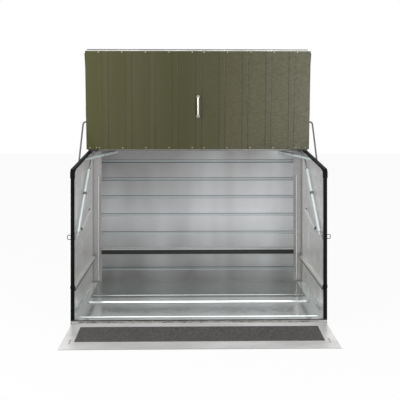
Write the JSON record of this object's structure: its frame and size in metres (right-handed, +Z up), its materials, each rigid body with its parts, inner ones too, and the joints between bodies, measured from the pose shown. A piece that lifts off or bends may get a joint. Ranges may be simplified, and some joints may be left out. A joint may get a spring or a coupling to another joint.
{
  "type": "bicycle locker",
  "caption": "Low sheet steel locker for bicycles with a ribbed lift-up door, a rear-hinged lid on gas struts, outside swing arms and a fold-down entry ramp",
  "frame": {"origin": "on the ground under the middle of the base, centred between the side walls", "axes": "+Z up, +Y from the entrance towards the back wall, +X to the right as seen from the entrance"},
  "size_m": [2.0178, 1.2582, 2.1458],
  "materials": {
    "galvanised": "hot-dip galvanised steel, satin",
    "bright_zinc": "bright galvanised sheet with soft cloudy reflections",
    "coated": "dark olive powder coat, semi-matt with a soft sheen",
    "black": "black edge trim, matt",
    "aluminium": "plain aluminium, lightly brushed",
    "chrome": "bright chrome plate",
    "mat": "black grip rubber, gritty and matt"
  },
  "bodies": {
    "root": {"base_rail_front": "galvanised", "base_rail_rear": "galvanised", "base_rail_left": "galvanised", "base_rail_right": "galvanised", "base_bearer": "galvanised", "floor_front": "galvanised", "floor_rear": "galvanised", "floor_edge_left": "galvanised", "floor_edge_right": "galvanised", "corner_post_left": "galvanised", "corner_post_right": "galvanised", "back_top_rail": "galvanised", "corner_stay_left": "galvanised", "corner_stay_right": "galvanised", "lid_hinge_fixed": "galvanised", "strut_anchor_left": "galvanised", "strut_anchor_right": "galvanised", "staple_left": "galvanised", "staple_right": "galvanised", "arm_bracket_left": "galvanised", "arm_bracket_right": "galvanised", "ramp_hinge_fixed": "galvanised", "side_wall_left": "bright_zinc", "side_wall_right": "bright_zinc", "side_rail_left": "bright_zinc", "side_rail_right": "bright_zinc", "back_rail": "bright_zinc", "back_wall": "bright_zinc", "corner_cover_left": "coated", "corner_cover_right": "coated", "front_trim_left": "black", "front_trim_right": "black", "top_trim_left": "black", "top_trim_right": "black", "trim_corner_left": "black", "trim_corner_right": "black"},
    "arms": {"arm_left": "galvanised", "arm_right": "galvanised"},
    "door": {"door_panel": "coated", "door_top_rail": "coated", "door_bottom_rail": "coated", "door_stile_left": "galvanised", "door_stile_right": "galvanised", "door_handle": "chrome", "hasp_left": "galvanised", "hasp_right": "galvanised"},
    "lid": {"lid_panel": "coated", "lid_edge": "aluminium", "lid_bearer": "galvanised", "lid_bracket_left": "galvanised", "lid_bracket_right": "galvanised", "lid_hinge_moving": "galvanised"},
    "strut_cylinders": {"strut_cylinder_left": "aluminium", "strut_cylinder_right": "aluminium"},
    "strut_rods": {"strut_rod_left": "chrome", "strut_rod_right": "chrome"},
    "ramp": {"ramp_plate": "aluminium", "ramp_mat": "mat", "ramp_hinge_moving": "galvanised"}
  },
  "joints": [
    {"name": "arm_pivot", "type": "hinge", "parent": "root", "child": "arms", "pos_m": [0, -0.0607, 0.9916], "axis": [1, 0, 0], "range_deg": [0, 164.34]},
    {"name": "door_pivot", "type": "hinge", "parent": "arms", "child": "door", "pos_m": [0, 0.21243, 1.51124], "axis": [1, 0, 0], "range_deg": [-169, 0]},
    {"name": "lid_hinge", "type": "hinge", "parent": "root", "child": "lid", "pos_m": [0, 0.42311, 1.28753], "axis": [1, 0, 0], "range_deg": [0, 81.25]},
    {"name": "strut_pivot", "type": "hinge", "parent": "root", "child": "strut_cylinders", "pos_m": [0, -0.353, 0.65], "axis": [1, 0, 0], "range_deg": [-4.6, 0]},
    {"name": "strut_slide", "type": "slide", "parent": "strut_cylinders", "child": "strut_rods", "axis": [0, 0.6966, 0.7175], "range_m": [-0.1297, 0]},
    {"name": "ramp_hinge", "type": "hinge", "parent": "root", "child": "ramp", "pos_m": [0, -0.447, 0.028], "axis": [1, 0, 0], "range_deg": [-94.2, 0]}
  ],
  "couplings": [
    {"joint": "door_pivot", "follows": "arm_pivot", "ratio": -1.0283},
    {"joint": "lid_hinge", "follows": "arm_pivot", "ratio": 0.49411},
    {"joint": "strut_pivot", "follows": "arm_pivot", "ratio": -0.027821},
    {"joint": "strut_slide", "follows": "arm_pivot", "m_per_rad": -0.045136}
  ]
}
